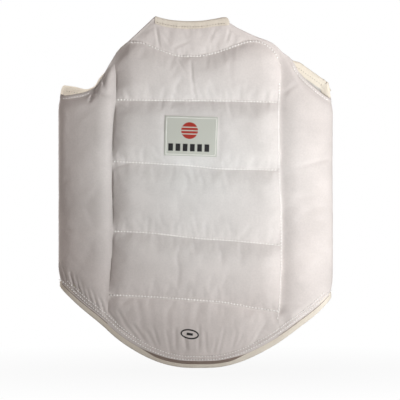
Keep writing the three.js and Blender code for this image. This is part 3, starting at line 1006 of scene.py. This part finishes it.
def edges_of(side):
    """A side panel's lower and upper edge, each as folded_tape takes it."""
    cloth = (partial(wrap, side), partial(side_thickness, side))
    return ((*cloth, lambda r: side_outline(side, r)[0], 1), (*cloth, lambda r: side_outline(side, r)[1], -1))


def neck_tape():
    xs = np.linspace(-60.5, 50.6, 90)
    width = (neck_edge(xs) - neck_tape_edge(xs))[:, None]
    folded_tape("neck_binding_tape", on_front, centre_thickness, neck_edge, -1, xs, width, CREAM,
                "neck_binding", straight=True)
    tape_row("neck_binding_stitches", on_front, centre_thickness, neck_tape_edge, 1, xs[1:-1], 2.8)


def front_hem():
    """The hem's binding, the strip of cloth above it, whose lower edge stands off it in the middle, and a
    dark sheet of painted shade in that gap."""
    xs = np.linspace(-131.5, 126, 130)
    folded_tape("front_hem_binding", on_front, centre_thickness, hem, 1, xs, BINDING, CREAM, "hem_binding")
    for name, inset, lift, radius in (("hem", HEM_ROW, 0.6, 0.66), ("facing", FACING_ROW, 0.5, 0.6)):
        tape_row(f"front_{name}_stitches", on_front, facing_thickness, hem, 1, xs, inset, THREAD,
                 lift=lift, radius=radius)

    xs = np.linspace(-131, 124, 130)[None, :]
    t = np.linspace(0, 1, 12)[:, None]
    low = hem(xs) + 8.4 + 1.2 * lip_share(xs)
    z = low + (hem(xs) + 17.8 - low) * t
    h = facing_thickness(xs, z) - 0.9 * smooth((t - 0.75) / 0.25)
    sheet("hem_facing_strip", on_front, xs, z, h, h - 0.9, WHITE, "hem_facing")

    # A dark sheet of painted shade in the gap under the strip's lower edge.
    xs = np.linspace(-129, 123, 150)[None, :]
    t = np.linspace(0, 1, 8)[:, None]
    z = hem(xs) + 9.8 - (1.7 + 3.4 * lip_share(xs)) * (1 - t)
    h = centre_thickness(xs, z) + 1.25
    sheet("hem_gap_lining", on_front, xs, z, h, h - 0.4, PAINTED_SHADE)


def side_hem(side):
    word, first = WORD[side], 124 if side == RIGHT else 129
    edge = edges_of(side)[0]
    rs = np.concatenate([np.linspace(first, REACH - 16, 40), np.linspace(REACH - 15, REACH + 15, 24),
                         np.linspace(REACH + 16, 2 * REACH - BACK_GAP, 60)])
    folded_tape(word + "_hem_binding_wrap", *edge, rs, BINDING, CREAM, word + "_back_hem_binding", ride=side)
    tape_row(word + "_hem_stitches", *edge, rs[:-1], HEM_ROW, THREAD, ride=side, lift=1.5, radius=0.6)
    rs = np.linspace(first, REACH - 5, 60)
    tape_row(word + "_facing_stitches", *edge, rs, FACING_ROW, THREAD, lift=1.1, radius=0.6)

    rs = np.linspace(first, REACH - 8, 60)[None, :]
    t = np.linspace(0, 1, 10)[:, None]
    surface, thickness, low, _ = edge
    z = low(rs) + 9.4 + 8.4 * t
    h = thickness(rs, z) + 0.9 + 0.5 * (1 - smooth(t / 0.3)) - 0.7 * smooth((t - 0.75) / 0.25)
    sheet(word + "_side_facing_strip", surface, rs, z, h, h - 0.5, WHITE)
    # A dark sheet of painted shade under the side facing strip.
    z = low(rs) + 8.3 + 1.5 * t
    h = thickness(rs, z) + 1.2
    sheet(word + "_side_gap_lining", surface, rs, z, h, h - 0.5, PAINTED_SHADE)


def back_tapes(side):
    """Cream tapes on a back half: armhole round from the fold, shoulder, centre edge."""
    word = WORD[side]
    body = word + "_back"
    edge = edges_of(side)[1]
    shoulder = 2 * REACH - 112
    rs = np.linspace(REACH + 1.0, shoulder, 90)
    width = BINDING + 4.5 * smooth((shoulder - rs) / 50)[:, None]
    # The armhole tape takes the lighter, glowing copy of the cream: painted light.
    folded_tape(word + "_armhole_binding_wrap", *edge, rs, width, CREAM_PAINTED_LIT, body + "_armhole_binding",
                ride=side)
    tape_row(word + "_armhole_stitches", *edge, rs[9:-1], TAPE_ROW, ride=side)
    inside = (edge[0], lambda r, z: 0 * z - 2.0, *edge[2:])
    tape_row(word + "_armhole_inner_stitches", *inside, rs[9:-1], TAPE_ROW, ride=side)

    rs = np.linspace(shoulder - 0.5, 2 * REACH - 53, 40)
    folded_tape(word + "_shoulder_binding_tape", *edge, rs, BINDING, CREAM, body + "_shoulder_binding",
                ride=body)

    zs = np.linspace(73, 474, 130)
    edge = (lambda z, u, h: on_back(side * u, z, h), lambda z, u: side_thickness(side, 2 * REACH - u, z),
            back_start, 1)
    folded_tape(word + "_centre_binding_tape", *edge, zs, BINDING, CREAM, body + "_centre_binding", ride=body)
    tape_row(word + "_centre_stitches", *edge, zs[1:-1], TAPE_ROW, ride=body)


def armhole_facing(side):
    """A narrow turned edge of the same cloth along the front's armhole."""
    word, width = WORD[side], 5.0
    edge = edges_of(side)[1]
    rs = np.linspace(159 if side == LEFT else 147, REACH + 2, 50)
    folded_tape(word + "_armhole_facing_strip", *edge, rs, width, WHITE, word + "_armhole_facing", ride=side,
                lift=0.7)
    tape_row(word + "_facing_row", *edge, rs[1:-6], width - 1.2, THREAD, lift=0.9, radius=0.45)


# ---- label and size mark

LABEL_WIDE, LABEL_TALL = 78.5, 59.3


def on_label(u, v, lift):
    """Metres of a spot on the label at shares u across and v up."""
    weights = ((1 - u) * (1 - v), u * (1 - v), u * v, (1 - u) * v)
    x, z = (sum(w * corner[axis] for w, corner in zip(weights, LABEL_CORNERS)) for axis in (0, 1))
    sag = 0.175 * noise2(u * 4, v * 3, 33)
    return on_front(x, z, np.maximum(centre_thickness(x, z), 12.6) + 0.7 + sag + lift)


def woven(name, u, v, material, lift):
    """A thin woven or printed shape on the label."""
    sheet(name, on_label, u, v, lift, lift - 0.25, material)


def grid(a0, b0, a1, b1, across, up):
    return np.meshgrid(np.linspace(a0, a1, across), np.linspace(b0, b1, up))


def chest_label():
    """A woven label with a plain motif: a disc cut by three bars, above a row of six marks."""
    sheet("chest_label_woven", on_label, *grid(0, 0, 1, 1, 40, 30), 0, -0.8, SATIN, "chest_label")
    middle, disc_height = 0.47, 0.64
    turn, radius = np.linspace(0, 2 * math.pi, 40)[:, None], np.linspace(0.02, 12.5, 8)
    woven("label_disc", middle + radius * np.cos(turn) / LABEL_WIDE,
          disc_height + radius * np.sin(turn) / LABEL_TALL, RED, 0.18)
    half_bar = 14 / LABEL_WIDE
    for i in range(3):
        v = disc_height + (5 * i - 5.8) / LABEL_TALL
        spots = grid(middle - half_bar, v, middle + half_bar, v + 1.6 / LABEL_TALL, 6, 6)
        woven(f"label_bar_{i + 1}", *spots, SATIN, 0.32)
    for i in range(6):
        u, v = middle + (10.8 * i - 31) / LABEL_WIDE, 0.12
        spots = grid(u, v, u + 7 / LABEL_WIDE, v + 11 / LABEL_TALL, 6, 6)
        woven(f"label_mark_{i + 1}", *spots, BLACK, 0.18)

    starts, ends = [], []
    border = np.array(box_corners(0.03, 0.035, 0.97, 0.965))
    for corner, way in zip(border, np.diff(border, axis=0)):
        count = int(math.hypot(way[0] * LABEL_WIDE, way[1] * LABEL_TALL) / 1.5)
        i = np.arange(count)[:, None]
        swing = np.where(i % 2, 0.9, -0.9) * way[::-1] * (0.011, 0.014)
        starts.append(corner + way * i / count - swing)
        ends.append(corner + way * (i + 1) / count + swing)
    at = lambda p, lift: on_label(*p.T, lift)
    row = stitches("label_zigzag", at, np.concatenate(starts), np.concatenate(ends), THREAD, 0.26)
    dress(row, slot="label_satin")


def size_mark():
    """A printed oval outline round a plain dash."""
    tilt = math.radians(-9)
    on_cloth = lambda x, z, h: on_front(x, z, centre_thickness(x, z) + h)

    def printed(name, p, q, *nodes):
        x = -8.5 + p * math.cos(tilt) - q * math.sin(tilt)
        z = 50.5 + p * math.sin(tilt) + q * math.cos(tilt)
        sheet(name, on_cloth, x, z, 0.35, 0.05, INK, *nodes)

    turn = np.linspace(0, 2 * math.pi, 65)[None, :]
    grow = np.array([-1.05, 1.05])[:, None]
    printed("size_mark_oval", (12.8 + grow) * np.cos(turn), (6.4 + grow) * np.sin(turn), "size_mark")
    printed("size_mark_dash", *grid(-4.6, -1.8, 4.6, 1.8, 12, 5))


# ---- shoulder flaps and back straps

FLAP_NEAR, FLAP_FAR = 62.5, 117.5  # distances of a flap's upright edges from the centre plane
FLAP_MIDDLE = -3.7
FLAP_DROP = 70
PATCH_MIDDLE, PATCH_HALF = 90, 22


def upright(side, x, y, z):
    """Metres of spots on an upright patch, mirrored on the left side."""
    return np.stack(np.broadcast_arrays(side * x, y, z), -1) * MM


def shoulder_flap(side):
    """A padded flap that folds over from the shoulder edge and hangs between front and back."""
    word = WORD[side]
    x = np.linspace(FLAP_NEAR, FLAP_FAR, 28)[None, :]
    t = np.linspace(0, 1, 36)[:, None]
    top = np.minimum(shoulder_line(x), front_top(side * x)) - 2.5
    z = top + (shoulder_line(x) - FLAP_DROP - top) * t
    to_edge = np.minimum(np.minimum(x - FLAP_NEAR, FLAP_FAR - x), 68 * (1 - t))
    puff = 1.9 * bulge(to_edge + 0.6, 7)
    faces = [upright(side, x, FLAP_MIDDLE + y, z) for y in (puff, -puff)]
    flap = shell(word + "_flap_padded", *faces, WHITE)
    dress(flap, word + "_shoulder_flap", ride=None)
    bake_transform(flap)

    at = lambda p, lift: upright(side, p[:, 0], lift - 1.9, p[:, 1])
    path = corner_path(box_corners(FLAP_NEAR + 4, FLAP_DROP - 4, FLAP_FAR - 4, 8), 30)
    path[:, 1] = shoulder_line(path[:, 0]) - path[:, 1]
    sew(word + "_flap_stitches", at, path, 0.34, ride=word + "_shoulder")
    slanted_patch(word + "_flap_hook", side, 38, 66, HOOK, word + "_shoulder", 1)
    slanted_patch(word + "_tab_loop", side, 36, 68, LOOP, word + "_back", -1)


def slanted_patch(name, side, upper, lower, material, body, facing):
    """A thin napped tape parallel to the shoulder fold, in its CAD node's place, sewn down all
    round. facing is the way its napped face looks, 1 to the back; its other face sinks into the
    cloth."""
    lo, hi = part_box(name + "_tape")
    level = (hi.y if facing > 0 else lo.y) / MM

    def spot(across, down):
        x = PATCH_MIDDLE + PATCH_HALF * across
        return x, shoulder_line(x) - upper - (lower - upper) * down

    across, down = grid(-1, 0, 1, 1, 24, 24)
    x, z = spot(across, down)
    nap = level + 0.08 * noise2(across * 9, down * 9, 3)
    root = lo.y / MM - 0.3 if facing > 0 else np.maximum(hi.y / MM, back_depth(z) + 0.4)
    patch = shell(name + "_patch", upright(side, x, nap, z), upright(side, x, root, z), material)
    dress(patch, name + "_tape", ride=body)

    path = np.stack(spot(*corner_path(box_corners(-0.9, 0.08, 0.9, 0.92)).T), -1)
    at = lambda p, lift: upright(side, p[:, 0], level + facing * (0.1 + lift), p[:, 1])
    sew(name + "_patch_stitches", at, path, 0.34, ride=body, slot=finishes[material.name], pitch=3.0)


def strap_height(u, z):
    """Thickness of whatever lies under a strap: the left half, the gap or the right half."""
    half_gap = 46.0
    r = 2 * REACH - np.maximum(np.abs(u), half_gap)
    across = smooth((u + half_gap) / (2 * half_gap))
    return side_thickness(LEFT, r, z) * (1 - across) + side_thickness(RIGHT, r, z) * across


def elastic_half(u):
    """Half the thickness of a strap, which is doubled at its end and raised at its sewn end."""
    return 1.15 + 0.75 * smooth((u - 97) / 2) * (u < 109.5) + 0.5 * (u < -129)


def strap(word):
    """A ribbed elastic strap, its stitches, its hook patch and the loop patch under it."""
    low, high = STRAPS[word]
    half, middle = (high - low) / 2, (high + low) / 2
    seat = lambda u: strap_height(u, middle + 0 * u) + 2.1 * smooth((u - 52) / 16) + 0.3
    u = np.concatenate([np.linspace(-156, -118, 30), np.linspace(-116, 96, 90), np.linspace(97, 110, 12)])
    u = u[:, None]
    turn = np.linspace(0, 2 * math.pi, 44, endpoint=False)[None, :]
    cross_z = np.sign(np.cos(turn)) * np.abs(np.cos(turn)) ** 0.25
    cross_h = np.sign(np.sin(turn)) * np.abs(np.sin(turn)) ** 0.6
    z = middle + (half - 0.4) * cross_z + 0.5 * noise(u / 30, 44)
    h = seat(u + 0 * turn) + elastic_half(u) * (1 + cross_h)
    elastic = tube(word + "_strap_elastic", on_back(u, z, h), ELASTIC, 50)
    dress(elastic, word + "_elastic", word + "_strap_anchor", ride=None)
    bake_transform(elastic)

    top = lambda p, lift: on_back(*p.T, seat(p[:, 0]) + 2 * elastic_half(p[:, 0]) + lift)
    for part, u0, u1, body in (("anchor", -152, -132, "left_back"), ("end", 99.5, 107, word + "_strap")):
        corners = box_corners(u0, low + 4, u1, high - 4) + [(u1, high - 4), (u1, low + 4), (u0, high - 4)]
        sew(f"{word}_{part}_stitches", top, corner_path(corners), 0.36, ride=body, slot="elastic_webbing",
            pitch=3.0)
    patches = (("hook", 62, 96, 4, 1.25, 2.3, HOOK, word + "_strap"),
               ("loop", 66, 141, 1, 0.1, 1.2, LOOP, "right_back"))
    for part, u0, u1, inset, bottom, nap_height, material, body in patches:
        u, z = grid(u0, low + inset, u1, high - inset, 40, 26)
        under = strap_height(u, middle + 0 * z)
        nap = 0.1 * noise2(u / 2, z / 2, 9)
        sheet(f"{word}_{part}_patch", on_back, u, z, under + nap_height + nap, under + bottom, material,
              f"{word}_strap_{part}_tape", ride=body)


# ---- light, floor and camera


def mix_shaders(tree, share, first, second, out):
    mix = tree.nodes.new("ShaderNodeMixShader")
    for socket, value in zip(mix.inputs, (share, first, second)):
        feed(tree, socket, value)
    feed(tree, out.inputs[0], mix.outputs[0])


def add_world():
    """White behind the object; softer light from above than from below."""
    world = bpy.data.worlds.new("studio")
    bpy.context.scene.world = world
    world.use_nodes = True
    tree = world.node_tree
    tree.nodes.clear()
    up = add_node(tree, "SeparateXYZ", "Z", Vector=add_node(tree, "TexCoord", "Generated"))
    sky = tint(tree, maths(tree, "ADD", up, 0.5), (0.105, 0.082, 0.068), (0.23, 0.21, 0.20), 0, 1)
    glow = add_node(tree, "Background", 0, Color=sky)
    seen = add_node(tree, "Background", 0, Color=(1, 1, 1, 1))
    to_camera = add_node(tree, "LightPath", "Is Camera Ray")
    mix_shaders(tree, to_camera, glow, seen, tree.nodes.new("ShaderNodeOutputWorld"))


def add_light(kind, name, place_at, target, power, colour, **settings):
    data = bpy.data.lights.new(name, kind)
    data.energy = power
    data.color = colour
    for setting, value in settings.items():
        setattr(data, setting, value)
    lamp = new_object(name, data)
    lamp.location = place_at
    lamp.rotation_euler = (Vector(target) - Vector(place_at)).to_track_quat("-Z", "Y").to_euler()
    return lamp


def add_spot(name, place_at, target, power, cone, radius, colour):
    """A round light that fades softly towards the edge of its cone."""
    return add_light("SPOT", name, place_at, target, power, colour, spot_size=math.radians(cone),
                     spot_blend=1.0, shadow_soft_size=radius)


def add_lights():
    add_spot("key", (0.72, -0.80, -0.12), (0.13, 0, 0.43), 51, 63, 0.14, (0.98, 1, 1))
    add_spot("kicker", (0.62, -0.72, 1.10), (0.07, 0, 0.50), 19, 26, 0.12, (1, 0.985, 0.97))
    add_light("AREA", "edge", (-1.0, -0.04, 0.30), (-0.2, 0, 0.28), 1.3, (1, 0.95, 0.92), size=0.4)
    add_light("AREA", "back", (-0.75, 1.05, 0.15), (0, 0, 0.26), 10.0, (1, 1, 1), size=0.35)
    add_light("AREA", "back_top", (0.3, 0.8, 1.2), (0, 0, 0.3), 2.0, (1, 0.98, 0.96), size=0.8)
    # The inside of the left armhole is lit by a lamp that reaches nothing else.
    lamp = add_spot("armhole", (-0.46, -0.66, 1.0), (-0.18, 0, 0.42), 19, 14, 0.06, (1, 0.98, 0.95))
    lamp.light_linking.receiver_collection = bpy.data.collections.new("lit_by_armhole_lamp")
    lamp.light_linking.receiver_collection.objects.link(bpy.data.objects["left_armhole_binding_wrap"])


def add_floor():
    """A pale floor that fades into the white background."""
    size, level = 12.0, -0.004
    material, tree, shader = new_material("pale_floor", None, (0.45, 0.45, 0.45), 0.9)
    reach = reach_of(tree, add_node(tree, "TexCoord", "Object"))
    fade = tree.nodes.new("ShaderNodeMapRange")
    for name, value in (("Value", reach), ("From Min", 0.1), ("From Max", 0.7), ("To Min", 0.92)):
        feed(tree, fade.inputs[name], value)
    to_camera = add_node(tree, "LightPath", "Is Camera Ray")
    share = maths(tree, "MULTIPLY", fade.outputs["Result"], to_camera)
    white = add_node(tree, "Emission", 0)
    mix_shaders(tree, share, shader.outputs[0], white, tree.nodes["Material Output"])
    data = bpy.data.meshes.new("floor")
    corners = [(x * size, y * size, level) for x, y in ((-1, -1), (1, -1), (1, 1), (-1, 1))]
    data.from_pydata(corners, [], [(0, 1, 2, 3)])
    data.materials.append(material)
    floor = new_object("floor", data)
    floor.visible_shadow = False
    floor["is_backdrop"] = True


def add_camera():
    """Looks at the front from far off, so that nothing is foreshortened."""
    data = bpy.data.cameras.new("camera")
    target, distance, frame_width = Vector((0.00675, -0.005, 0.2505)), 4.0, 0.6
    data.sensor_width = 36
    data.lens = data.sensor_width * distance / frame_width
    camera = new_object("camera", data)
    camera.location = target - Vector((0, distance, 0))
    camera.rotation_euler = (math.radians(90), 0, 0)
    bpy.context.scene.camera = camera


blow_up_centre()
blow_up_side(LEFT)
blow_up_side(RIGHT)
centre_panel()
centre_padding()
quilt_stitches()
neck_tape()
front_hem()
for side in (LEFT, RIGHT):
    side_panel(side)
    back_tapes(side)
    shoulder_flap(side)
    side_hem(side)
    armhole_facing(side)
chest_label()
size_mark()
for word in STRAPS:
    strap(word)

bpy.context.scene.view_settings.view_transform = "Standard"
add_world()
add_lights()
add_floor()
add_camera()

visual_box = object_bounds()
as_lists = lambda box: [[float(v) for v in corner] for corner in box]
{"cad": as_lists(cad_box), "visual": as_lists(visual_box)}
